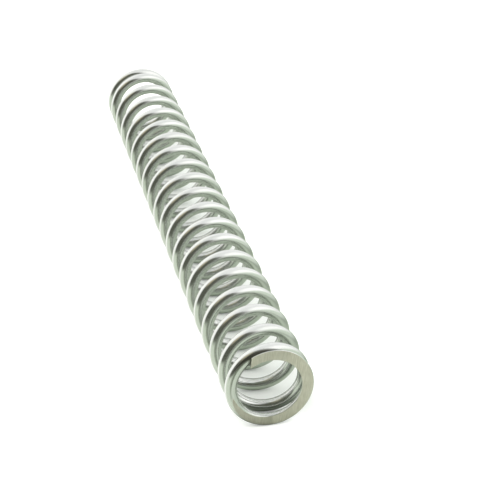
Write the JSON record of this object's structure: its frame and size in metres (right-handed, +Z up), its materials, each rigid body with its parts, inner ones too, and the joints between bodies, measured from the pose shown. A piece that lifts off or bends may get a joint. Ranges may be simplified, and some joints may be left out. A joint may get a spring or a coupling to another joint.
{
  "type": "fork spring",
  "caption": "Long helical compression spring of round steel wire, wound right-handed, with closed ends ground flat, for the inside of a suspension fork leg.",
  "frame": {"origin": "centre of the lower ground seat, on the surface that the spring stands on", "axes": "+Z up the coil axis to the upper seat, +X and +Y across the coil"},
  "size_m": [0.035, 0.035, 0.288],
  "materials": {
    "spring_steel": "bright drawn wire with fine lines along it, and matt ground seats"
  },
  "bodies": {
    "root": {"coil_spring": "spring_steel"}
  },
  "joints": []
}
